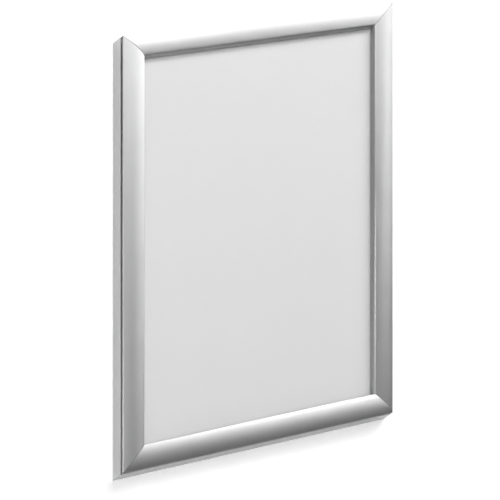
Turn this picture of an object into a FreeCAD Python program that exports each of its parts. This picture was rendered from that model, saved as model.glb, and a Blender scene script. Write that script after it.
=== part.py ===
import FreeCAD, Part
import math
import os
import Sketcher

# A wall-mounted snap frame for A3 posters. Four mitred aluminium base rails lie flat on the
# wall, and four sprung covers hinge on their outer edges and clamp the poster and its film.
#
# Model frame, millimetres: the wall is the plane y = 0, the frame faces -Y, +Z is up and the
# origin is the middle of the back. Each rail is drawn in a frame of its own, with u inward
# from the outer edge, v out from the wall and w along the rail.

sizes = {
    # the poster and what lies with it
    "poster_width": 297,
    "poster_height": 420,
    "poster_clearance": 0.5,
    "poster_thickness": 0.2,
    "panel_thickness": 1.6,
    "film_thickness": 0.5,
    "sheet_inset": 0.5,
    # the rails, seen from the front
    "rail_width": 25,
    "lip_overlap": 10,
    "frame_depth": 13,
    # the base rail
    "base_wall": 1.2,
    "base_inset": 0.5,
    "key_channel": 2.5,
    "rib_thickness": 1.3,
    "rib_head": 1,
    "rib_nose": 0.7,
    # the hinge: a bead on the cover turns in a socket on the base rail
    "bead_radius": 1.1,
    "hinge_clearance": 0.05,
    "socket_wall": 0.75,
    "socket_mouth": 150,
    "turn_clearance": 0.3,
    "neck_thickness": 0.9,
    "neck_angle": 30,
    "corner_relief": 1.5,
    # the cover
    "cover_wall": 1.3,
    "crown_radius": 50,
    "crown_peak": 14.4,
    "crown_rise": 2.8,
    "edge_width": 0.8,
    "edge_radius": 1.2,
    "lip_width": 1.2,
    "lip_rounding": 2,
    "lip_radius": 2.4,
    "inner_chamfer": 1,
    "hinge_land": 2,
    "lip_clearance": 0.1,
    "mitre_gap": 0.3,
    # the claw under the cover, which the springs push on
    "claw_width": 0.75,
    "claw_drop": 0.95,
    "claw_taper": 0.1,
    # the leaf springs
    "spring_thickness": 0.5,
    "spring_length": 22,
    "spring_sag": 2.1,
    "spring_drop": 0.5,
    "seat_slope": 0.3,
    "spring_clearance": 0.15,
    "spring_pitch_long": 130,
    "spring_pitch_short": 150,
    # the corner keys
    "key_arm": 38,
    "key_clearance": 0.1,
    # the screw holes
    "screw_hole": 4.5,
    "screw_line": 7.2,
    "screw_spacing": 330,
}

SIDES = ("bottom", "right", "top", "left")
LONG_SIDES = ("right", "left")
CORNERS = ("bottom_left", "bottom_right", "top_right", "top_left")

doc = FreeCAD.newDocument("snap_frame")
sheet = doc.addObject("Spreadsheet::Sheet", "sizes")
for row, (alias, value) in enumerate(sizes.items(), start=1):
    sheet.set(f"A{row}", alias)
    sheet.set(f"B{row}", str(value))
    sheet.setAlias(f"B{row}", alias)
doc.recompute()


def value_of(expression):
    return float(sheet.evalExpression(str(expression)))


def cell(alias):
    return f"sizes.{alias}"


# Lengths that more than one piece uses, as expressions of the sheet's cells.
HALF_WIDTH = "(sizes.poster_width / 2 - sizes.lip_overlap + sizes.rail_width)"
HALF_HEIGHT = "(sizes.poster_height / 2 - sizes.lip_overlap + sizes.rail_width)"
SHELF = "(2 * sizes.base_wall + sizes.key_channel)"
PANEL_FRONT = f"({SHELF} + sizes.panel_thickness)"
POSTER_FRONT = f"({PANEL_FRONT} + sizes.poster_thickness)"
FILM_FRONT = f"({POSTER_FRONT} + sizes.film_thickness)"
RIB_INNER = "(sizes.rail_width - sizes.lip_overlap - sizes.poster_clearance)"
RIB_OUTER = f"({RIB_INNER} - sizes.rib_thickness)"
BASE_EDGE = "(sizes.rail_width - sizes.base_inset)"
BORE = "(sizes.bead_radius + sizes.hinge_clearance)"
SOCKET = f"({BORE} + sizes.socket_wall)"
HINGE_U = SOCKET
UNDERSIDE = "(sizes.frame_depth - sizes.crown_rise)"
HINGE_V = f"({UNDERSIDE} - sizes.turn_clearance - {SOCKET})"
CROWN_V = "(sizes.frame_depth - sizes.crown_radius)"
CLAW_LEFT = f"({HINGE_U} + {SOCKET} + sizes.turn_clearance)"
CLAW_RIGHT = f"({CLAW_LEFT} + sizes.claw_width)"
SPRING_V = f"({HINGE_V} - sizes.spring_drop)"
SPRING_TOP = f"({SPRING_V} + sizes.spring_thickness)"
SPRING_OUTER = f"({CLAW_RIGHT} + 2 * sizes.spring_clearance + sizes.spring_thickness / 2)"
SPRING_INNER = f"({RIB_OUTER} - sizes.spring_clearance - sizes.spring_thickness / 2)"


def half_length(side):
    return HALF_HEIGHT if side in LONG_SIDES else HALF_WIDTH


def crown(radius, u):
    """Height of the crown's arc of this radius at u."""
    return f"({CROWN_V} + sqrt({radius} ^ 2 - ({u} - sizes.crown_peak) ^ 2))"


def on_hinge(radius, angle):
    """A point of the section on a circle about the hinge axis."""
    return f"{HINGE_U} + {radius} * cos({angle})", f"{HINGE_V} + {radius} * sin({angle})"


def plane_of(body, role):
    for feature in body.Origin.OriginFeatures:
        if feature.Role == role:
            return feature
    raise LookupError(role)


def new_sketch(body, name, role):
    sketch = body.newObject("Sketcher::SketchObject", name)
    sketch.AttachmentSupport = [(plane_of(body, role), "")]
    sketch.MapMode = "FlatFace"
    return sketch


def bind(sketch, kind, *where, to):
    """Add a dimension to the sketch and tie it to an expression."""
    index = sketch.addConstraint(Sketcher.Constraint(kind, *where, value_of(to)))
    sketch.setExpression(f"Constraints[{index}]", to)


def arc_between(start, end, radius):
    """The short arc from start to end, turning left where the radius is positive."""
    chord = end - start
    rise = math.sqrt(max(radius**2 - (chord.Length / 2) ** 2, 0))
    left = FreeCAD.Vector(-chord.y, chord.x, 0).normalize()
    centre = (start + end) / 2 + left * math.copysign(rise, radius)
    first, last = (start, end) if radius > 0 else (end, start)
    circle = Part.Circle(centre, FreeCAD.Vector(0, 0, 1), abs(radius))
    return Part.ArcOfCircle(circle, circle.parameter(first), circle.parameter(last))


def draw(sketch, corners):
    """Draw a closed outline. A corner is (u, v), or (u, v, radius) where an arc leaves it:
    the radius has a minus sign in front where the arc turns right."""
    points = [FreeCAD.Vector(value_of(c[0]), value_of(c[1]), 0) for c in corners]
    first = sketch.GeometryCount
    ends = []
    for index, corner in enumerate(corners):
        start = points[index]
        end = points[(index + 1) % len(points)]
        if len(corner) == 2:
            sketch.addGeometry(Part.LineSegment(start, end), False)
            ends.append((1, 2))
        else:
            radius = value_of(corner[2])
            sketch.addGeometry(arc_between(start, end, radius), False)
            ends.append((1, 2) if radius > 0 else (2, 1))
    for index, corner in enumerate(corners):
        edge = first + index
        before = first + (index - 1) % len(corners)
        start_vertex = ends[index][0]
        last_vertex = ends[index - 1][1]
        sketch.addConstraint(Sketcher.Constraint("Coincident", before, last_vertex, edge, start_vertex))
        bind(sketch, "DistanceX", -1, 1, edge, start_vertex, to=corner[0])
        bind(sketch, "DistanceY", -1, 1, edge, start_vertex, to=corner[1])
        if len(corner) == 3:
            bind(sketch, "Radius", edge, to=corner[2].lstrip("-"))


def draw_circle(sketch, centre_u, centre_v, radius):
    centre = FreeCAD.Vector(value_of(centre_u), value_of(centre_v), 0)
    index = sketch.addGeometry(Part.Circle(centre, FreeCAD.Vector(0, 0, 1), value_of(radius)), False)
    bind(sketch, "DistanceX", -1, 1, index, 3, to=centre_u)
    bind(sketch, "DistanceY", -1, 1, index, 3, to=centre_v)
    bind(sketch, "Radius", index, to=radius)


def pad(body, sketch, length):
    """Extrude a section equally both ways along the rail."""
    feature = body.newObject("PartDesign::Pad", sketch.Name + "_pad")
    feature.Profile = sketch
    feature.Midplane = True
    feature.setExpression("Length", length)
    sketch.Visibility = False
    doc.recompute()
    return feature


def pocket_through(body, sketch):
    """Cut a sketch through the whole piece and make sure that it took something away."""
    before = body.Shape.Volume
    feature = body.newObject("PartDesign::Pocket", sketch.Name + "_pocket")
    feature.Profile = sketch
    feature.Type = "ThroughAll"
    feature.Midplane = True
    doc.recompute()
    if not feature.Shape.Volume < before:
        raise RuntimeError(f"{feature.Label} cuts nothing")
    return feature


def new_body(name):
    body = doc.addObject("PartDesign::Body", name)
    body.Label = name
    return body


def stand_on(piece, side, along="0"):
    """Turn a piece drawn as u, v, w to its side of the frame, and bind its place there."""
    inward = {
        "bottom": FreeCAD.Vector(0, 0, 1),
        "right": FreeCAD.Vector(-1, 0, 0),
        "top": FreeCAD.Vector(0, 0, -1),
        "left": FreeCAD.Vector(1, 0, 0),
    }[side]
    out = FreeCAD.Vector(0, -1, 0)
    turn = FreeCAD.Rotation(inward, out, inward.cross(out), "ZYX")
    piece.Placement = FreeCAD.Placement(FreeCAD.Vector(), turn)
    outward_end = {"bottom": "-", "left": "-", "right": "", "top": ""}[side]
    if side in LONG_SIDES:
        piece.setExpression(".Placement.Base.x", outward_end + HALF_WIDTH)
        piece.setExpression(".Placement.Base.z", along)
    else:
        piece.setExpression(".Placement.Base.x", along)
        piece.setExpression(".Placement.Base.z", outward_end + HALF_HEIGHT)


def mitre(body, name, half, back):
    """Cut both ends at 45 degrees, set back from the true mitre."""
    margin = "2"
    sketch = new_sketch(body, name, "XZ_Plane")
    reach = f"({half} + {margin})"
    inner = f"(sizes.rail_width + {margin})"
    for sign in ("", "-"):
        draw(
            sketch,
            [
                (f"-{margin}", f"{sign}({half} + {margin} - {back})"),
                (f"-{margin}", f"{sign}({reach} + {margin})"),
                (inner, f"{sign}({reach} + {margin})"),
                (inner, f"{sign}({half} - {inner} - {back})"),
            ],
        )
    pocket_through(body, sketch)


def make_base_rail(side):
    """The extrusion on the wall: side wall with the hinge socket, spring rib and poster shelf."""
    body = new_body(f"base_rail_{side}")
    half = half_length(side)
    section = new_sketch(body, f"base_section_{side}", "XY_Plane")
    bore_end = on_hinge(BORE, 0)
    bore_bottom = on_hinge(BORE, -90)
    bore_mouth = on_hinge(BORE, cell("socket_mouth"))
    socket_mouth = on_hinge(SOCKET, cell("socket_mouth"))
    socket_foot_v = f"{HINGE_V} - sqrt({SOCKET} ^ 2 - ({HINGE_U} - sizes.base_wall) ^ 2)"
    draw(
        section,
        [
            ("0", "0"),
            (BASE_EDGE, "0"),
            (BASE_EDGE, SHELF),
            (RIB_INNER, SHELF),
            (RIB_INNER, f"{SPRING_TOP} + sizes.rib_head"),
            (f"{RIB_OUTER} - sizes.rib_nose", f"{SPRING_TOP} + sizes.rib_head"),
            (f"{RIB_OUTER} - sizes.rib_nose", f"{SPRING_TOP} + sizes.seat_slope"),
            (RIB_OUTER, SPRING_TOP),
            (RIB_OUTER, cell("base_wall")),
            (cell("base_wall"), cell("base_wall")),
            (cell("base_wall"), socket_foot_v, SOCKET),
            (*on_hinge(SOCKET, 0),),
            (*bore_end, "-" + BORE),
            (*bore_bottom, "-" + BORE),
            bore_mouth,
            (*socket_mouth, SOCKET),
            ("0", HINGE_V),
        ],
    )
    draw(
        section,
        [
            (RIB_INNER, cell("base_wall")),
            (f"{BASE_EDGE} - sizes.base_wall", cell("base_wall")),
            (f"{BASE_EDGE} - sizes.base_wall", f"{SHELF} - sizes.base_wall"),
            (RIB_INNER, f"{SHELF} - sizes.base_wall"),
        ],
    )
    pad(body, section, f"2 * {half}")
    mitre(body, f"base_mitre_{side}", half, "0")
    if side in LONG_SIDES:
        holes = new_sketch(body, f"screw_holes_{side}", "XZ_Plane")
        for sign in ("", "-"):
            draw_circle(holes, cell("screw_line"), f"{sign}sizes.screw_spacing / 2", "sizes.screw_hole / 2")
        pocket_through(body, holes)
    stand_on(body, side)
    return body


def make_cover(side):
    """The sprung cover: a crowned shell with its lip, and the hinge bead, neck and claw."""
    body = new_body(f"snap_cover_{side}")
    half = half_length(side)
    shell = new_sketch(body, f"cover_section_{side}", "XY_Plane")
    crown_end = "(sizes.rail_width - sizes.lip_rounding)"
    inner_radius = "(sizes.crown_radius - sizes.cover_wall)"
    lip_inner = "(sizes.rail_width - sizes.lip_width)"
    inner_start = f"({lip_inner} - sizes.inner_chamfer)"
    inner_end = "(sizes.edge_width + sizes.hinge_land)"
    lip_tip = f"({FILM_FRONT} + sizes.lip_clearance)"
    draw(
        shell,
        [
            ("0", UNDERSIDE),
            (inner_end, UNDERSIDE),
            (inner_end, crown(inner_radius, inner_end), "-" + inner_radius),
            (inner_start, crown(inner_radius, inner_start)),
            (lip_inner, f"{crown(inner_radius, inner_start)} - sizes.inner_chamfer"),
            (lip_inner, lip_tip),
            (cell("rail_width"), lip_tip),
            (cell("rail_width"), f"{crown(cell('crown_radius'), crown_end)} - sizes.lip_rounding", cell("lip_radius")),
            (crown_end, crown(cell("crown_radius"), crown_end), cell("crown_radius")),
            (cell("edge_width"), crown(cell("crown_radius"), cell("edge_width")), cell("edge_radius")),
        ],
    )
    pad(body, shell, f"2 * {half}")
    mitre(body, f"cover_mitre_{side}", half, "sizes.mitre_gap / sqrt(2)")

    hinge_length = f"2 * ({half} - {CLAW_RIGHT} - sizes.corner_relief)"
    bead = new_sketch(body, f"bead_{side}", "XY_Plane")
    draw_circle(bead, HINGE_U, HINGE_V, cell("bead_radius"))
    pad(body, bead, hinge_length)

    neck = new_sketch(body, f"neck_{side}", "XY_Plane")
    root = "(sizes.bead_radius / 2)"
    side_step = "(sizes.neck_thickness / 2)"

    def along_neck(distance, across):
        angle = cell("neck_angle")
        return (
            f"{HINGE_U} + {distance} * cos({angle}) - ({across}) * sin({angle})",
            f"{HINGE_V} + {distance} * sin({angle}) + ({across}) * cos({angle})",
        )

    knee = f"(({CLAW_LEFT} - {HINGE_U} - {side_step} * sin(sizes.neck_angle)) / cos(sizes.neck_angle))"
    shell_middle = f"{crown(cell('crown_radius'), CLAW_RIGHT)} - sizes.cover_wall / 2"
    draw(
        neck,
        [
            along_neck(root, f"-{side_step}"),
            along_neck(knee, f"-{side_step}"),
            (CLAW_LEFT, f"{HINGE_V} - sizes.claw_drop"),
            (f"{CLAW_RIGHT} - sizes.claw_taper", f"{HINGE_V} - sizes.claw_drop"),
            (CLAW_RIGHT, f"{SPRING_TOP} - sizes.claw_taper"),
            (f"{CLAW_RIGHT} + sizes.claw_width / 2", f"{SPRING_TOP} - sizes.claw_taper + sizes.seat_slope"),
            (f"{CLAW_RIGHT} + sizes.claw_width / 2", shell_middle),
            (f"{CLAW_RIGHT} - sizes.claw_width / 2", shell_middle),
            (f"{CLAW_RIGHT} - sizes.claw_width / 2", UNDERSIDE),
            along_neck(f"({knee} - {side_step})", side_step),
            along_neck(root, side_step),
        ],
    )
    pad(body, neck, hinge_length)
    stand_on(body, side)
    return body


def make_spring(side, number, along):
    """A leaf spring, bowed between the rib's seat and the claw of the cover."""
    body = new_body(f"click_spring_{side}_{number}")
    section = new_sketch(body, f"spring_section_{side}_{number}", "XY_Plane")
    half_chord = f"(({SPRING_INNER} - {SPRING_OUTER}) / 2)"
    radius = f"(({half_chord} ^ 2 + sizes.spring_sag ^ 2) / (2 * sizes.spring_sag))"
    inner_radius = f"({radius} - sizes.spring_thickness / 2)"
    outer_radius = f"({radius} + sizes.spring_thickness / 2)"
    centre_u = f"({SPRING_OUTER} + {half_chord})"
    centre_v = f"({SPRING_V} + {radius} - sizes.spring_sag)"

    def on_leaf(arc_radius, end):
        share = f"{arc_radius} / {radius}"
        return (
            f"{centre_u} {end} {half_chord} * {share}",
            f"{centre_v} - ({radius} - sizes.spring_sag) * {share}",
        )

    draw(
        section,
        [
            (*on_leaf(outer_radius, "-"), outer_radius),
            on_leaf(outer_radius, "+"),
            (*on_leaf(inner_radius, "+"), "-" + inner_radius),
            on_leaf(inner_radius, "-"),
        ],
    )
    pad(body, section, cell("spring_length"))
    stand_on(body, side, along)
    return body


def make_springs(side):
    if side in LONG_SIDES:
        places = ["-sizes.spring_pitch_long", "0", "sizes.spring_pitch_long"]
    else:
        places = ["-sizes.spring_pitch_short / 2", "sizes.spring_pitch_short / 2"]
    return [make_spring(side, number, place) for number, place in enumerate(places, start=1)]


def make_corner_key(corner, quarter_turns):
    """An L-shaped key whose arms slide into the channels of two base rails."""
    arms = []
    for number, (length, width) in enumerate((("Length", "Height"), ("Height", "Length")), start=1):
        arm = doc.addObject("Part::Box", f"key_arm_{corner}_{number}")
        arm.setExpression(length, cell("key_arm"))
        arm.setExpression(width, f"{BASE_EDGE} - sizes.base_wall - {RIB_INNER} - 2 * sizes.key_clearance")
        arm.setExpression("Width", "sizes.key_channel - 2 * sizes.key_clearance")
        arm.Placement = FreeCAD.Placement(FreeCAD.Vector(), FreeCAD.Rotation())
        arm.setExpression(".Placement.Base.x", f"{RIB_INNER} + sizes.key_clearance")
        arm.setExpression(".Placement.Base.z", f"{RIB_INNER} + sizes.key_clearance")
        arm.setExpression(".Placement.Base.y", "-(sizes.base_wall + sizes.key_channel - sizes.key_clearance)")
        arms.append(arm)
    key = doc.addObject("Part::Fuse", f"corner_key_{corner}")
    key.Label = f"corner_key_{corner}"
    key.Base, key.Tool = arms
    key.Refine = True
    turn = FreeCAD.Rotation(FreeCAD.Vector(0, -1, 0), 90 * quarter_turns)
    key.Placement = FreeCAD.Placement(FreeCAD.Vector(), turn)
    key.setExpression(".Placement.Base.x", ("-" if "left" in corner else "") + HALF_WIDTH)
    key.setExpression(".Placement.Base.z", ("-" if "bottom" in corner else "") + HALF_HEIGHT)
    return key


def make_layer(name, inset, back, thickness):
    """One of the flat layers that lie on the shelf: panel, poster or film."""
    layer = doc.addObject("Part::Box", name)
    layer.Label = name
    layer.setExpression("Length", f"sizes.poster_width - 2 * {inset}")
    layer.setExpression("Height", f"sizes.poster_height - 2 * {inset}")
    layer.setExpression("Width", thickness)
    layer.setExpression(".Placement.Base.x", f"{inset} - sizes.poster_width / 2")
    layer.setExpression(".Placement.Base.z", f"{inset} - sizes.poster_height / 2")
    layer.setExpression(".Placement.Base.y", f"-({back} + {thickness})")
    return layer


pieces = []
for side in SIDES:
    pieces.append(make_base_rail(side))
    pieces.append(make_cover(side))
    pieces.extend(make_springs(side))
for turns, corner in enumerate(CORNERS):
    pieces.append(make_corner_key(corner, turns))
pieces.append(make_layer("back_panel", "0", SHELF, cell("panel_thickness")))
pieces.append(make_layer("insert_sheet", "0", PANEL_FRONT, cell("poster_thickness")))
pieces.append(make_layer("cover_film", cell("sheet_inset"), POSTER_FRONT, cell("film_thickness")))

doc.recompute()

for item in doc.Objects:
    if "Invalid" in item.State or "Error" in item.State:
        raise RuntimeError(f"{item.Label} failed: {item.State}")
for piece in pieces:
    if piece.Shape.isNull() or not piece.Shape.isValid() or len(piece.Shape.Solids) != 1:
        raise RuntimeError(f"{piece.Label} is not one valid solid")

os.makedirs("parts", exist_ok=True)
for piece in pieces:
    piece.Shape.exportStep(f"parts/{piece.Label}.step")
    print(f"{piece.Label:24s} {piece.Shape.Volume:10.1f} mm3")
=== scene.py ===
import bpy
import math
from mathutils import Matrix, Vector


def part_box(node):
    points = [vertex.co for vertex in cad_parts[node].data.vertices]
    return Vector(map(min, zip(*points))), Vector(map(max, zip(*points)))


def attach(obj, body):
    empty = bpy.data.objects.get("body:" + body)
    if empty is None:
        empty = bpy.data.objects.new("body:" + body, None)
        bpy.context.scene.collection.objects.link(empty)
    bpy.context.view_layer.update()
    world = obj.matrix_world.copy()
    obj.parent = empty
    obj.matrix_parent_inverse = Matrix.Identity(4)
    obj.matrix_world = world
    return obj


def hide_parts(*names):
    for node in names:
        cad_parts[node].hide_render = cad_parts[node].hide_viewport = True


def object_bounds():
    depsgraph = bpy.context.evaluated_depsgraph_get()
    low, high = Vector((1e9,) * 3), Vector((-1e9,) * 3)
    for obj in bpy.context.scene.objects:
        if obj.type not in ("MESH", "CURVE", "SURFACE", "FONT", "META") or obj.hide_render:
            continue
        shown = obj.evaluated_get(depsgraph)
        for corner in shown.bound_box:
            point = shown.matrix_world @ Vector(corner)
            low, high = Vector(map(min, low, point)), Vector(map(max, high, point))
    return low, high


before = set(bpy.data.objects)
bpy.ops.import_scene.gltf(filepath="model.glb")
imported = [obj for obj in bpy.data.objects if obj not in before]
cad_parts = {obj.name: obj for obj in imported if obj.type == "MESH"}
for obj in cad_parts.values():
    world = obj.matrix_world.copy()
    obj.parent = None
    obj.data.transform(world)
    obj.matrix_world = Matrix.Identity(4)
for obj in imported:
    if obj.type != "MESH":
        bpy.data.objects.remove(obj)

cadLow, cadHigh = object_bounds()
mm = 0.001
seamGap = 0.002 * mm
doubleGap = 0.0005 * mm
closeEnough = 0.001 * mm
smoothLimit = 20
print("frame loaded:", len(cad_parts), "nodes")

# every rail is modelled as the bottom one, with u inward (+Z) from its outer edge, v out from
# the wall (-Y) and its length along X, and is then turned about Y to its own side
halfWidth = cadHigh.x
halfHeight = cadHigh.z
sides = {
    "bottom": {"turn": 0, "edge": halfHeight, "half": halfWidth},
    "right": {"turn": -90, "edge": halfWidth, "half": halfHeight},
    "top": {"turn": 180, "edge": halfHeight, "half": halfWidth},
    "left": {"turn": 90, "edge": halfWidth, "half": halfHeight},
}


def clearSelection():
    if bpy.context.mode != "OBJECT":
        bpy.ops.object.mode_set(mode="OBJECT")
    bpy.ops.object.select_all(action="DESELECT")


def pick(obj):
    clearSelection()
    obj.select_set(True)
    bpy.context.view_layer.objects.active = obj


def editAll(obj):
    pick(obj)
    bpy.ops.object.mode_set(mode="EDIT")
    bpy.ops.mesh.select_all(action="SELECT")


def selectParts(obj, kind, wanted):
    pick(obj)
    parts = {"EDGE": obj.data.edges, "FACE": obj.data.polygons}
    for group in (obj.data.vertices, obj.data.edges, obj.data.polygons):
        for item in group:
            item.select = False
    for item in parts[kind]:
        item.select = wanted(item)
    bpy.ops.object.mode_set(mode="EDIT")
    bpy.ops.mesh.select_mode(type=kind)


def applyPlace(obj):
    pick(obj)
    bpy.ops.object.transform_apply(location=True, rotation=True, scale=True)


def applyModifier(obj, kind, **settings):
    pick(obj)
    bpy.ops.object.modifier_add(type=kind)
    modifier = obj.modifiers[-1]
    for key, value in settings.items():
        setattr(modifier, key, value)
    bpy.ops.object.modifier_apply(modifier=modifier.name)


def cutWith(obj, tool, operation="DIFFERENCE"):
    applyModifier(obj, "BOOLEAN", operation=operation, object=tool, solver="EXACT")
    bpy.data.objects.remove(tool)


def roundEdges(obj, width, segments=2, angle=40):
    applyModifier(obj, "BEVEL", width=width * mm, segments=segments, limit_method="ANGLE",
                  angle_limit=math.radians(angle))


def faceOut(obj):
    editAll(obj)
    bpy.ops.mesh.remove_doubles(threshold=doubleGap)
    bpy.ops.mesh.normals_make_consistent(inside=False)
    clearSelection()


def shadeByAngle(obj, angle=smoothLimit):
    pick(obj)
    bpy.ops.object.shade_smooth_by_angle(angle=math.radians(angle))


def sectionPoint(u, v):
    return Vector((0, -v * mm, u * mm))


def drawLine(name, start, steps):
    # a step is (u, v) for a line, or (centreU, centreV, sweep, parts) for an arc from the last one
    clearSelection()
    here = sectionPoint(*start)
    bpy.ops.mesh.primitive_plane_add(size=mm, location=here)
    obj = bpy.context.object
    obj.name = name
    obj.data.name = name
    bpy.ops.object.mode_set(mode="EDIT")
    bpy.ops.mesh.select_mode(type="VERT")
    bpy.ops.mesh.select_all(action="SELECT")
    bpy.ops.mesh.merge(type="CENTER")
    for step in steps:
        if len(step) == 2:
            there = sectionPoint(*step)
            bpy.ops.mesh.extrude_vertices_move(TRANSFORM_OT_translate={"value": there - here})
            here = there
        else:
            centre = sectionPoint(step[0], step[1])
            sweep = math.radians(step[2])
            # with no window the spin turns the other way
            bpy.ops.mesh.spin(steps=step[3], angle=-sweep, center=centre, axis=(1, 0, 0))
            here = centre + Matrix.Rotation(sweep, 3, "X") @ (here - centre)
    bpy.ops.object.mode_set(mode="OBJECT")
    applyPlace(obj)
    return obj


def drawSection(name, start, steps):
    obj = drawLine(name, start, steps)
    editAll(obj)
    bpy.ops.mesh.remove_doubles(threshold=seamGap)
    bpy.ops.mesh.select_all(action="SELECT")
    bpy.ops.mesh.edge_face_add()
    clearSelection()
    return obj


def drawOut(obj, length):
    editAll(obj)
    bpy.ops.mesh.extrude_region_move(TRANSFORM_OT_translate={"value": (length * mm, 0, 0)})
    bpy.ops.mesh.select_all(action="SELECT")
    bpy.ops.transform.translate(value=(-length * mm / 2, 0, 0))
    bpy.ops.mesh.normals_make_consistent(inside=False)
    clearSelection()


def mitreEnds(obj, half, back):
    # both ends are sawn at 45 degrees, set back from the true mitre
    for end in (-1, 1):
        editAll(obj)
        bpy.ops.mesh.bisect(plane_co=(end * (half - back) * mm, 0, 0), plane_no=(end, 0, 1),
                            clear_outer=True, use_fill=True)
    clearSelection()


def turnToSide(obj, side):
    s = sides[side]
    obj.location.z = -s["edge"]
    applyPlace(obj)
    obj.rotation_euler.y = math.radians(s["turn"])
    applyPlace(obj)


# how much each direction of the section adds to U, so that no wall of it is left out
runShare = {"inward": 0.93, "outward": 0.37}


def runUv(obj):
    # U goes round the section and V along the rail
    layer = obj.data.uv_layers.get("run") or obj.data.uv_layers.new(name="run")
    for loop in obj.data.loops:
        place = obj.data.vertices[loop.vertex_index].co
        around = place.z * runShare["inward"] - place.y * runShare["outward"]
        layer.data[loop.index].uv = (around, place.x)


def sawnEnds(obj):
    # the mitred end faces are bare sawn metal, and everything else is anodised
    slanted = 0.6
    for face in obj.data.polygons:
        if min(abs(face.normal.x), abs(face.normal.z)) > slanted:
            face.material_index = 1


def addPiece(obj, body, slot, node, *materials):
    places = [face.material_index for face in obj.data.polygons]
    obj.data.materials.clear()
    for material in materials:
        obj.data.materials.append(material)
    for face, place in zip(obj.data.polygons, places):
        face.material_index = place
    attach(obj, body)
    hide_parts(node)


def newMaterial(name):
    material = bpy.data.materials.new(name)
    material.use_nodes = True
    return material, material.node_tree, material.node_tree.nodes["Principled BSDF"]


def addNode(tree, kind, values=None, **settings):
    node = tree.nodes.new(kind)
    for key, value in settings.items():
        setattr(node, key, value)
    for key, value in (values or {}).items():
        if isinstance(value, bpy.types.NodeSocket):
            tree.links.new(value, node.inputs[key])
        else:
            node.inputs[key].default_value = value
    return node


def stretched(tree, source, scale, detail=3.0):
    # noise with its own scale on each axis
    mapping = addNode(tree, "ShaderNodeMapping", {"Vector": source, "Scale": scale})
    return addNode(tree, "ShaderNodeTexNoise", {"Vector": mapping.outputs["Vector"], "Scale": 1.0,
                                                "Detail": detail, "Roughness": 0.55})


def ranged(tree, source, low, high):
    return addNode(tree, "ShaderNodeMapRange", {"Value": source, "From Min": 0.3, "From Max": 0.7,
                                                "To Min": low, "To Max": high}).outputs["Result"]


def blended(tree, factor, first, second):
    node = addNode(tree, "ShaderNodeMix", data_type="RGBA")
    tree.links.new(factor, node.inputs["Factor"])
    node.inputs[6].default_value = (*first, 1)
    node.inputs[7].default_value = (*second, 1)
    return node.outputs[2]


metalSizes = {
    "tone": ((0.48, 0.48, 0.485), (0.53, 0.53, 0.53)),
    "rough": (0.385, 0.435),
    "lean": 0.72,
    "cloud": 40,
    "dieLines": (3600, 6, 1),
    "lineRelief": (0.25, 0.006),
    "grain": 5200,
    "grainRelief": (0.12, 0.004),
}
baseMetalSizes = dict(metalSizes, tone=((0.7, 0.7, 0.7), (0.76, 0.76, 0.76)), rough=(0.4, 0.46))


def relief(tree, height, size, under=None):
    strength, depth = size
    values = {"Height": height, "Strength": strength, "Distance": depth * mm}
    if under:
        values["Normal"] = under
    return addNode(tree, "ShaderNodeBump", values).outputs["Normal"]


def extrudedMetal(name, s):
    material, tree, shader = newMaterial(name)
    run = addNode(tree, "ShaderNodeUVMap", uv_map="run").outputs["UV"]
    spot = addNode(tree, "ShaderNodeTexCoord").outputs["Object"]
    lines = stretched(tree, run, s["dieLines"], 2.5).outputs["Fac"]
    cloud = stretched(tree, spot, (s["cloud"],) * 3, 4.0).outputs["Fac"]
    fine = stretched(tree, spot, (s["grain"],) * 3, 2.0).outputs["Fac"]
    tree.links.new(blended(tree, cloud, *s["tone"]), shader.inputs["Base Color"])
    tree.links.new(ranged(tree, lines, *s["rough"]), shader.inputs["Roughness"])
    tangent = addNode(tree, "ShaderNodeTangent", direction_type="UV_MAP", uv_map="run")
    tree.links.new(tangent.outputs["Tangent"], shader.inputs["Tangent"])
    grain = relief(tree, fine, s["grainRelief"])
    tree.links.new(relief(tree, lines, s["lineRelief"], grain), shader.inputs["Normal"])
    shader.inputs["Metallic"].default_value = 1.0
    shader.inputs["Anisotropic"].default_value = s["lean"]
    return material


# the plain finishes: two tones, a range of roughness, and the strength and depth of the relief in mm
finishes = {
    "sawnAluminium": {"tone": ((0.62, 0.62, 0.62), (0.72, 0.72, 0.72)), "rough": (0.26, 0.4),
                      "relief": (0.3, 0.01), "metal": 1.0},
    "springSteel": {"tone": ((0.36, 0.37, 0.39), (0.46, 0.46, 0.47)), "rough": (0.22, 0.36),
                    "relief": (0.2, 0.01), "metal": 1.0},
    "zincPlatedSteel": {"tone": ((0.5, 0.51, 0.53), (0.66, 0.66, 0.66)), "rough": (0.34, 0.5),
                        "relief": (0.25, 0.012), "metal": 1.0},
    "panelPlastic": {"tone": ((0.63, 0.63, 0.625), (0.67, 0.67, 0.665)), "rough": (0.5, 0.62),
                     "relief": (0.25, 0.02), "metal": 0.0},
    "insertPaper": {"tone": ((0.87, 0.87, 0.87), (0.9, 0.9, 0.9)), "rough": (0.78, 0.9),
                    "relief": (0.2, 0.02), "metal": 0.0},
    "matFilm": {"tone": ((0.86, 0.86, 0.86), (0.89, 0.89, 0.89)), "rough": (0.58, 0.68),
                "relief": (0.35, 0.02), "metal": 0.0},
}


def plainFinish(name, makePatterns):
    # makePatterns gives the patterns for the tone, the roughness and the relief
    s = finishes[name]
    material, tree, shader = newMaterial(name)
    spot = addNode(tree, "ShaderNodeTexCoord").outputs["Object"]
    tone, rough, height = makePatterns(tree, spot)
    tree.links.new(blended(tree, tone, *s["tone"]), shader.inputs["Base Color"])
    tree.links.new(ranged(tree, rough, *s["rough"]), shader.inputs["Roughness"])
    tree.links.new(relief(tree, height, s["relief"]), shader.inputs["Normal"])
    shader.inputs["Metallic"].default_value = s["metal"]
    return material, shader


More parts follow.
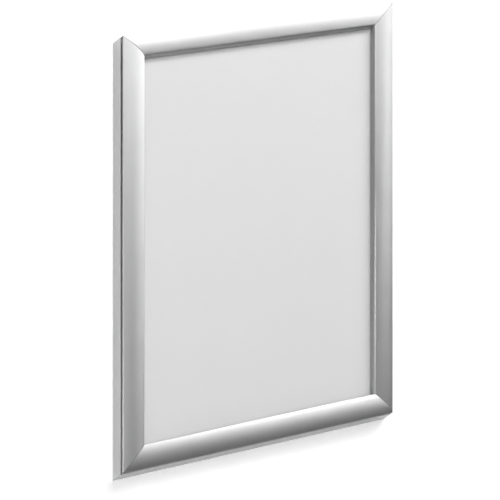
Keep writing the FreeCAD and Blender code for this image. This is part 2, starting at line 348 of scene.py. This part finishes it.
def sawMarks(tree, spot):
    marks = addNode(tree, "ShaderNodeTexWave", {"Vector": spot, "Scale": 900.0, "Distortion": 3.0,
                                                "Detail": 2.0}, wave_type="RINGS").outputs["Fac"]
    return marks, marks, marks


def rolledSteel(tree, spot):
    rolled = stretched(tree, spot, (900, 5000, 900)).outputs["Fac"]
    return stretched(tree, spot, (180, 180, 180), 4.0).outputs["Fac"], rolled, rolled


def zincFlakes(tree, spot):
    flakes = addNode(tree, "ShaderNodeTexVoronoi", {"Vector": spot, "Scale": 420.0}).outputs["Distance"]
    return flakes, flakes, stretched(tree, spot, (2600, 2600, 2600)).outputs["Fac"]


def plasticGrain(tree, spot):
    grain = stretched(tree, spot, (1500, 1500, 1500)).outputs["Fac"]
    return stretched(tree, spot, (12, 12, 12)).outputs["Fac"], grain, grain


def paperFibres(tree, spot):
    fibres = stretched(tree, spot, (700, 700, 1500), 5.0).outputs["Fac"]
    return fibres, fibres, fibres


def filmFrost(tree, spot):
    frost = stretched(tree, spot, (2200, 2200, 2200)).outputs["Fac"]
    return frost, frost, frost


coverMetal = extrudedMetal("coverAnodised", metalSizes)
baseMetal = extrudedMetal("baseAnodised", baseMetalSizes)
sawnMetal, _ = plainFinish("sawnAluminium", sawMarks)
springSteel, _ = plainFinish("springSteel", rolledSteel)
zincSteel, _ = plainFinish("zincPlatedSteel", zincFlakes)
panelPlastic, _ = plainFinish("panelPlastic", plasticGrain)
insertPaper, paperShader = plainFinish("insertPaper", paperFibres)
paperShader.inputs["Specular IOR Level"].default_value = 0.25
matFilm, filmShader = plainFinish("matFilm", filmFrost)
filmShader.inputs["Alpha"].default_value = 0.4
filmShader.inputs["IOR"].default_value = 1.5
print("materials ready")


# sizes are in mm here and below
coverSizes = {
    "width": 25,
    "crown": {"centre": (14.4, -37), "outer": 50, "inner": 48.7, "innerSpan": (2.8, 22.8), "parts": 36},
    "rim": {"height": 10.2, "rise": 0.8, "radius": 1.2, "parts": 6},
    "lip": {"foot": 7.3, "inside": 23.8, "drop": 2, "radius": 2.4, "parts": 9},
    "bevel": 0.12,
    "mitreGap": 0.3,
}
# the bead in its socket, and the neck and claw under the cover that the springs push on
hingeSizes = {
    "centre": (1.9, 8.0),
    "bead": {"radius": 1.1, "parts": 32},
    "bore": 1.15,
    "socket": 1.9,
    "mouth": 150,
    "neck": {"thickness": 0.9, "slope": 30},
    "claw": {"start": 4.1, "width": 0.75, "foot": 7.05, "taper": 0.1, "seat": 7.9, "rise": 0.3},
    "relief": 1.5,
}


def arcTo(centre, start, end, parts, turn=1):
    first = math.atan2(start[1] - centre[1], start[0] - centre[0])
    last = math.atan2(end[1] - centre[1], end[0] - centre[0])
    sweep = math.degrees(last - first) % 360
    return (centre[0], centre[1], sweep if turn > 0 else sweep - 360, parts)


def centreOf(start, end, radius):
    du, dv = end[0] - start[0], end[1] - start[1]
    chord = math.hypot(du, dv)
    rise = math.sqrt(radius ** 2 - chord ** 2 / 4)
    middle = (start[0] + end[0]) / 2, (start[1] + end[1]) / 2
    return (middle[0] - dv / chord * rise, middle[1] + du / chord * rise)


def modelCover(name, half):
    s = coverSizes
    crown, rim, lip = s["crown"], s["rim"], s["lip"]

    def onCrown(radius, u):
        return (u, crown["centre"][1] + math.sqrt(radius ** 2 - (u - crown["centre"][0]) ** 2))

    lipTop = onCrown(crown["outer"], s["width"] - lip["drop"])
    lipSide = (s["width"], lipTop[1] - lip["drop"])
    rimTop = onCrown(crown["outer"], rim["rise"])
    rimEnd = (0, rim["height"])
    innerStart, innerEnd = (onCrown(crown["inner"], u) for u in crown["innerSpan"])
    shell = drawSection(name, rimEnd, [
        (innerStart[0], rim["height"]),
        innerStart,
        arcTo(crown["centre"], innerStart, innerEnd, crown["parts"] // 2, -1),
        (lip["inside"], innerEnd[1] - 1),
        (lip["inside"], lip["foot"]),
        (s["width"], lip["foot"]),
        lipSide,
        arcTo(centreOf(lipSide, lipTop, lip["radius"]), lipSide, lipTop, lip["parts"]),
        arcTo(crown["centre"], lipTop, rimTop, crown["parts"]),
        arcTo(centreOf(rimTop, rimEnd, rim["radius"]), rimTop, rimEnd, rim["parts"]),
    ])
    drawOut(shell, 2 * half)
    mitreEnds(shell, half, s["mitreGap"] / math.sqrt(2))
    roundEdges(shell, s["bevel"])
    k = hingeSizes
    centre, claw = k["centre"], k["claw"]
    slope = math.radians(k["neck"]["slope"])
    step = k["neck"]["thickness"] / 2

    def onNeck(distance, across):
        return (centre[0] + distance * math.cos(slope) - across * math.sin(slope),
                centre[1] + distance * math.sin(slope) + across * math.cos(slope))

    root = math.sqrt(k["bead"]["radius"] ** 2 - step ** 2)
    knee = (claw["start"] - centre[0] - step * math.sin(slope)) / math.cos(slope)
    clawEnd = claw["start"] + claw["width"]
    nose, heel = clawEnd + claw["width"] / 2, clawEnd - claw["width"] / 2
    inShell = onCrown(crown["outer"], clawEnd)[1] - (crown["outer"] - crown["inner"]) / 2
    strip = drawSection(name + "Strip", onNeck(root, step), [
        arcTo(centre, onNeck(root, step), onNeck(root, -step), k["bead"]["parts"]),
        onNeck(knee, -step),
        (claw["start"], claw["foot"]),
        (clawEnd - claw["taper"], claw["foot"]),
        (clawEnd, claw["seat"]),
        (nose, claw["seat"] + claw["rise"]),
        (nose, inShell),
        (heel, inShell),
        (heel, rim["height"]),
        onNeck(knee - step, step),
        onNeck(root, step),
    ])
    drawOut(strip, 2 * (half - clawEnd - k["relief"]))
    cutWith(shell, strip, "UNION")
    faceOut(shell)
    return shell


for side, s in sides.items():
    cover = modelCover("snapCover" + side.title(), s["half"] / mm)
    runUv(cover)
    sawnEnds(cover)
    shadeByAngle(cover)
    turnToSide(cover, side)
    addPiece(cover, "cover_" + side, "cover_aluminium", "snap_cover_" + side, coverMetal, sawnMetal)
print("covers modelled")


baseSizes = {
    "shelf": {"u": (14.5, 24.5), "height": 4.9},
    "rib": {"u": (12.5, 13.2), "height": 9.0, "notch": 8.3},
    "parts": {"socket": 10, "bore": 16, "cheek": 4},
    "wall": 1.2,
    "bevel": 0.1,
    "channel": {"u": (14.5, 23.3), "v": (1.2, 3.7), "corner": 0.25, "spare": 20},
    "screw": {"line": 7.2, "spacing": 330, "radius": 2.25, "sink": 0.55, "spare": 0.2, "drill": 4,
              "facets": 48},
}


def drillHole(rail, along, wall):
    k = baseSizes["screw"]
    clearSelection()
    bpy.ops.mesh.primitive_cylinder_add(vertices=k["facets"], radius=k["radius"] * mm,
                                        depth=k["drill"] * mm,
                                        location=(along * mm, -wall / 2 * mm, k["line"] * mm),
                                        rotation=(math.pi / 2, 0, 0))
    tool = bpy.context.object
    applyPlace(tool)
    cutWith(rail, tool)
    # a shallow countersink on the side that faces the room
    depth = k["sink"] + k["spare"]
    middle = wall - k["sink"] + depth / 2
    clearSelection()
    bpy.ops.mesh.primitive_cone_add(vertices=k["facets"], radius1=(k["radius"] + depth) * mm,
                                    radius2=k["radius"] * mm, depth=depth * mm,
                                    location=(along * mm, -middle * mm, k["line"] * mm),
                                    rotation=(-math.pi / 2, 0, 0))
    tool = bpy.context.object
    applyPlace(tool)
    cutWith(rail, tool)


def modelBaseRail(name, half, withScrews):
    s = baseSizes
    shelf, rib, parts, wall = s["shelf"], s["rib"], s["parts"], s["wall"]
    k = hingeSizes
    centre, mouth = k["centre"], math.radians(k["mouth"])
    foot = (wall, centre[1] - math.sqrt(k["socket"] ** 2 - (centre[0] - wall) ** 2))
    rail = drawSection(name, (0, 0), [
        (shelf["u"][1], 0),
        (shelf["u"][1], shelf["height"]),
        (shelf["u"][0], shelf["height"]),
        (shelf["u"][0], rib["height"]),
        (rib["u"][0], rib["height"]),
        (rib["u"][0], rib["notch"]),
        (rib["u"][1], centre[1]),
        (rib["u"][1], wall),
        (wall, wall),
        foot,
        arcTo(centre, foot, (centre[0] + k["socket"], centre[1]), parts["socket"]),
        (centre[0] + k["bore"], centre[1]),
        (*centre, k["mouth"] - 360, parts["bore"]),
        (centre[0] + k["socket"] * math.cos(mouth), centre[1] + k["socket"] * math.sin(mouth)),
        (*centre, 180 - k["mouth"], parts["cheek"]),
        (0, 0),
    ])
    drawOut(rail, 2 * half)
    mitreEnds(rail, half, 0)
    roundEdges(rail, s["bevel"])
    c = s["channel"]
    clearSelection()
    middle = sectionPoint(sum(c["u"]) / 2, sum(c["v"]) / 2)
    bpy.ops.mesh.primitive_cube_add(size=mm, location=middle)
    tool = bpy.context.object
    tool.scale = (2 * half + c["spare"], c["v"][1] - c["v"][0], c["u"][1] - c["u"][0])
    applyPlace(tool)
    roundEdges(tool, c["corner"])
    cutWith(rail, tool)
    if withScrews:
        for end in (-1, 1):
            drillHole(rail, end * s["screw"]["spacing"] / 2, wall)
    faceOut(rail)
    return rail


for side, s in sides.items():
    rail = modelBaseRail("baseRail" + side.title(), s["half"] / mm, side in ("left", "right"))
    runUv(rail)
    sawnEnds(rail)
    shadeByAngle(rail)
    turnToSide(rail, side)
    addPiece(rail, "root", "base_aluminium", "base_rail_" + side, baseMetal, sawnMetal)
print("base rails modelled")


springSizes = {
    "chord": (5.4, 12.8),
    "height": 7.5,
    "sag": 2.1,
    "thickness": 0.5,
    "length": 22,
    "parts": 14,
    "corner": 1.2,
    "edge": 0.08,
    "spare": 1,
    "trim": 0.01,
    "places": {"bottom": (-75, 75), "right": (-130, 0, 130), "top": (-75, 75), "left": (-130, 0, 130)},
}


def modelSpring(name):
    s = springSizes
    half = (s["chord"][1] - s["chord"][0]) / 2
    radius = (half ** 2 + s["sag"] ** 2) / (2 * s["sag"])
    centre = (s["chord"][0] + half, s["height"] + radius - s["sag"])
    spread = math.atan2(half, radius - s["sag"])

    def onArc(distance, angle):
        return (centre[0] + distance * math.sin(angle), centre[1] - distance * math.cos(angle))

    outer, inner = radius + s["thickness"] / 2, radius - s["thickness"] / 2
    sweep = 2 * math.degrees(spread)
    leaf = drawSection(name, onArc(outer, -spread), [
        (*centre, sweep, s["parts"]),
        onArc(inner, spread),
        (*centre, -sweep, s["parts"]),
        onArc(outer, -spread),
    ])
    drawOut(leaf, s["length"] + s["spare"])
    # a block with rounded corners cuts the leaf to its plan
    reach = outer * math.sin(spread)
    clearSelection()
    bpy.ops.mesh.primitive_cube_add(size=mm, location=sectionPoint(centre[0], s["height"]))
    blank = bpy.context.object
    blank.scale = (s["length"], 3 * s["sag"], 2 * reach - s["trim"])
    applyPlace(blank)

    def through(edge):
        first, last = (blank.data.vertices[i].co for i in edge.vertices)
        return abs(first.y - last.y) > mm

    selectParts(blank, "EDGE", through)
    bpy.ops.mesh.bevel(offset=s["corner"] * mm, segments=5, affect="EDGES")
    cutWith(leaf, blank, "INTERSECT")
    roundEdges(leaf, s["edge"], 1, 60)
    faceOut(leaf)
    return leaf


for side, s in sides.items():
    for number, along in enumerate(springSizes["places"][side], start=1):
        leaf = modelSpring("clickSpring" + side.title() + str(number))
        # along runs with +X or +Z on every side
        leaf.location.x = along * mm * (-1 if side in ("top", "left") else 1)
        applyPlace(leaf)
        shadeByAngle(leaf)
        turnToSide(leaf, side)
        node = "click_spring_" + side + "_" + str(number)
        addPiece(leaf, "springs_" + side, "spring_steel", node, springSteel)
print("springs modelled")


keySizes = {
    "start": 14.6,
    "arm": 38,
    "width": 8.6,
    "depth": (1.3, 3.6),
    "edge": 0.25,
    "leadIn": 0.6,
    "stakes": {"places": (26, 40), "radius": 2.2, "dent": 0.35, "segments": 32, "rings": 16},
    "corners": {"bottom_left": (-1, -1, 0), "bottom_right": (1, -1, -90),
                "top_right": (1, 1, 180), "top_left": (-1, 1, 90)},
}


def modelKey(name):
    s = keySizes
    middle = s["start"] + s["width"] / 2
    deep = sum(s["depth"]) / 2
    clearSelection()
    bpy.ops.mesh.primitive_cube_add(size=mm, location=(middle * mm, -deep * mm, middle * mm))
    key = bpy.context.object
    key.name = name
    key.data.name = name
    key.scale = (s["width"], s["depth"][1] - s["depth"][0], s["width"])
    applyPlace(key)
    reach = (s["arm"] - s["width"]) * mm
    edge = (s["start"] + s["width"]) * mm
    tip = (s["start"] + s["arm"]) * mm
    for axis, value in ((0, (reach, 0, 0)), (2, (0, 0, reach))):
        def armRoot(face):
            outer = abs(face.center[axis] - edge) < closeEnough
            return outer and abs(face.center[2 - axis] - middle * mm) < closeEnough

        selectParts(key, "FACE", armRoot)
        bpy.ops.mesh.extrude_region_move(TRANSFORM_OT_translate={"value": value})

    def armTip(face):
        return max(face.center.x, face.center.z) > tip - closeEnough

    # the tips are chamfered so that they start easily in the channel
    selectParts(key, "FACE", armTip)
    bpy.ops.mesh.bevel(offset=s["leadIn"] * mm, segments=1, affect="EDGES")
    clearSelection()
    roundEdges(key, s["edge"])
    # a stake dents each arm twice, which locks it in the rail
    k = s["stakes"]
    for place in k["places"]:
        for across, up in ((place, middle), (middle, place)):
            lift = s["depth"][1] + k["radius"] - k["dent"]
            clearSelection()
            bpy.ops.mesh.primitive_uv_sphere_add(segments=k["segments"], ring_count=k["rings"],
                                                 radius=k["radius"] * mm,
                                                 location=(across * mm, -lift * mm, up * mm))
            tool = bpy.context.object
            applyPlace(tool)
            cutWith(key, tool)
    faceOut(key)
    return key


for corner, (signX, signZ, turn) in keySizes["corners"].items():
    key = modelKey("cornerKey" + corner.title().replace("_", ""))
    key.rotation_euler.y = math.radians(turn)
    applyPlace(key)
    key.location = (signX * halfWidth, 0, signZ * halfHeight)
    applyPlace(key)
    shadeByAngle(key)
    addPiece(key, "root", "key_steel", "corner_key_" + corner, zincSteel)
print("corner keys modelled")


# air is the gap left on each face
layerSizes = {
    "backPanel": {"corner": 2.0, "edge": 0.2, "air": 0},
    "insertSheet": {"corner": 0.4, "edge": 0.03, "air": 0.01},
    "coverFilm": {"corner": 1.5, "edge": 0.06, "air": 0.01},
}


def modelLayer(name, node, slot, material):
    s = layerSizes[name]
    low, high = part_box(node)
    clearSelection()
    bpy.ops.mesh.primitive_cube_add(size=1, location=(low + high) / 2)
    sheet = bpy.context.object
    sheet.name = name
    sheet.data.name = name
    size = high - low
    sheet.scale = (size.x, size.y - 2 * s["air"] * mm, size.z)
    applyPlace(sheet)

    def through(edge):
        first, last = (sheet.data.vertices[i].co for i in edge.vertices)
        return max(abs(first.x - last.x), abs(first.z - last.z)) < closeEnough

    # the corners are rounded in plan, and then every edge is eased
    selectParts(sheet, "EDGE", through)
    bpy.ops.mesh.bevel(offset=s["corner"] * mm, segments=6, affect="EDGES")
    clearSelection()
    roundEdges(sheet, s["edge"], 2, 50)
    faceOut(sheet)
    shadeByAngle(sheet)
    addPiece(sheet, "root", slot, node, material)


modelLayer("backPanel", "back_panel", "panel_plastic", panelPlastic)
modelLayer("insertSheet", "insert_sheet", "insert_paper", insertPaper)
modelLayer("coverFilm", "cover_film", "film_plastic", matFilm)
print("panel, insert and film modelled")


# the plain wall and floor in one sweep
stageSizes = {
    "gap": 0.5,
    "width": 14000,
    "top": 3200,
    "floor": -2300,
    "reach": 7000,
    "cove": 600,
    "smooth": 60,
    "tone": ((0.95, 0.95, 0.95), (0.96, 0.96, 0.96)),
    "glow": {"paleWall": 0.18, "paleFloor": 0.72},
    "floorSlope": 0.02,
}


def stageMaterial(name):
    # the stage can be seen through from behind, and only camera rays see its glow
    s = stageSizes
    material, tree, shader = newMaterial(name)
    spot = addNode(tree, "ShaderNodeTexCoord").outputs["Object"]
    cloud = stretched(tree, spot, (3, 3, 3)).outputs["Fac"]
    tree.links.new(blended(tree, cloud, *s["tone"]), shader.inputs["Base Color"])
    shader.inputs["Roughness"].default_value = 0.95
    shader.inputs["Specular IOR Level"].default_value = 0.1
    shader.inputs["Emission Color"].default_value = (1, 1, 1, 1)
    seen = addNode(tree, "ShaderNodeLightPath").outputs["Is Camera Ray"]
    shine = addNode(tree, "ShaderNodeMath", {0: seen, 1: s["glow"][name]}, operation="MULTIPLY")
    tree.links.new(shine.outputs["Value"], shader.inputs["Emission Strength"])
    clear = addNode(tree, "ShaderNodeBsdfTransparent")
    behind = addNode(tree, "ShaderNodeNewGeometry").outputs["Backfacing"]
    mix = addNode(tree, "ShaderNodeMixShader", {"Fac": behind})
    tree.links.new(shader.outputs["BSDF"], mix.inputs[1])
    tree.links.new(clear.outputs["BSDF"], mix.inputs[2])
    tree.links.new(mix.outputs["Shader"], tree.nodes["Material Output"].inputs["Surface"])
    return material


def buildStage():
    s = stageSizes
    coveTop = s["floor"] + s["cove"]
    wall = drawLine("wallAndFloor", (s["top"], -s["gap"]), [
        (coveTop, -s["gap"]),
        (coveTop, s["cove"] - s["gap"], -90, 16),
        (s["floor"], s["reach"]),
    ])
    editAll(wall)
    bpy.ops.mesh.extrude_region_move(TRANSFORM_OT_translate={"value": (s["width"] * mm, 0, 0)})
    clearSelection()
    wall.location.x = -s["width"] / 2 * mm
    applyPlace(wall)
    for name in s["glow"]:
        wall.data.materials.append(stageMaterial(name))
    for face in wall.data.polygons:
        face.material_index = int(face.normal.z > s["floorSlope"])
    shadeByAngle(wall, s["smooth"])
    wall.visible_shadow = False


buildStage()

# turn is from the front towards the right, lift is upwards, sizes are in metres and power in watts
lights = {
    "fillBox": {"turn": -45, "lift": -20, "far": 3.0, "size": (4.0, 3.0), "power": 38},
    "leftBox": {"turn": -20, "lift": 12, "far": 2.5, "size": (0.9, 0.5), "power": 9},
    "topBox": {"turn": 5, "lift": 42, "far": 2.5, "size": (2.4, 1.4), "power": 24},
    "highSideBox": {"turn": 46, "lift": 42, "far": 2.5, "size": (0.6, 0.5), "power": 10},
    "sideBox": {"turn": 62, "lift": 25.5, "far": 2.5, "size": (0.4, 0.6), "power": 5},
    "farSideBox": {"turn": 68, "lift": 36, "far": 2.5, "size": (0.6, 0.4), "power": 10},
    "lowSideBox": {"turn": 54, "lift": 15, "far": 2.5, "size": (0.4, 0.32), "power": 1.4},
    "backBox": {"turn": 155, "lift": 30, "far": 3.0, "size": (2.0, 2.0), "power": 60},
}


def direction(turn, lift):
    turn, lift = math.radians(turn), math.radians(lift)
    level = math.cos(lift)
    return Vector((math.sin(turn) * level, -math.cos(turn) * level, math.sin(lift)))


def softbox(name, s):
    place = direction(s["turn"], s["lift"]) * s["far"]
    data = bpy.data.lights.new(name, "AREA")
    data.shape = "RECTANGLE"
    data.size, data.size_y = s["size"]
    data.energy = s["power"]
    lamp = bpy.data.objects.new(name, data)
    bpy.context.scene.collection.objects.link(lamp)
    lamp.location = place
    lamp.rotation_euler = (-place).to_track_quat("-Z", "Y").to_euler()
    lamp.visible_camera = False


for name, s in lights.items():
    softbox(name, s)


def buildWorld():
    # pale to the camera, and dark to everything else so that only the boxes light the metal
    world = bpy.data.worlds.new("studioAir")
    bpy.context.scene.world = world
    world.use_nodes = True
    tree = world.node_tree
    dark = tree.nodes["Background"]
    dark.inputs["Color"].default_value = (0, 0, 0, 1)
    pale = addNode(tree, "ShaderNodeBackground", {"Color": (0.95, 0.95, 0.95, 1)})
    seen = addNode(tree, "ShaderNodeLightPath").outputs["Is Camera Ray"]
    mix = addNode(tree, "ShaderNodeMixShader", {"Fac": seen})
    tree.links.new(dark.outputs["Background"], mix.inputs[1])
    tree.links.new(pale.outputs["Background"], mix.inputs[2])
    tree.links.new(mix.outputs["Shader"], tree.nodes["World Output"].inputs["Surface"])


buildWorld()
bpy.context.scene.view_settings.view_transform = "Standard"
bpy.context.scene.view_settings.look = "Medium High Contrast"

# each direction is (turn, lift), and right and up are not square to each other, which slants the
# picture plane
cameraSizes = {
    "right": (25.76, -34.59),
    "up": (-47.8, 89.51),
    "back": (-46.577, -19.706),
    "place": (-46.601, -19.837),
    "far": 5.1687,
    "lens": 351.4,
    "clipEnd": 100,
}


def buildCamera(s):
    data = bpy.data.cameras.new("viewCamera")
    data.lens = s["lens"]
    data.clip_end = s["clipEnd"]
    camera = bpy.data.objects.new("viewCamera", data)
    rig = bpy.data.objects.new("cameraRig", None)
    for item in (rig, camera):
        bpy.context.scene.collection.objects.link(item)
    columns = [direction(*s[key]) for key in ("right", "up", "back")]
    columns.append(direction(*s["place"]) * s["far"])
    slant = Matrix.Identity(4)
    for column, values in enumerate(columns):
        for row in range(3):
            slant[row][column] = values[row]
    camera.parent = rig
    camera.matrix_parent_inverse = slant
    bpy.context.scene.camera = camera


buildCamera(cameraSizes)
print("stage, lights and camera ready")
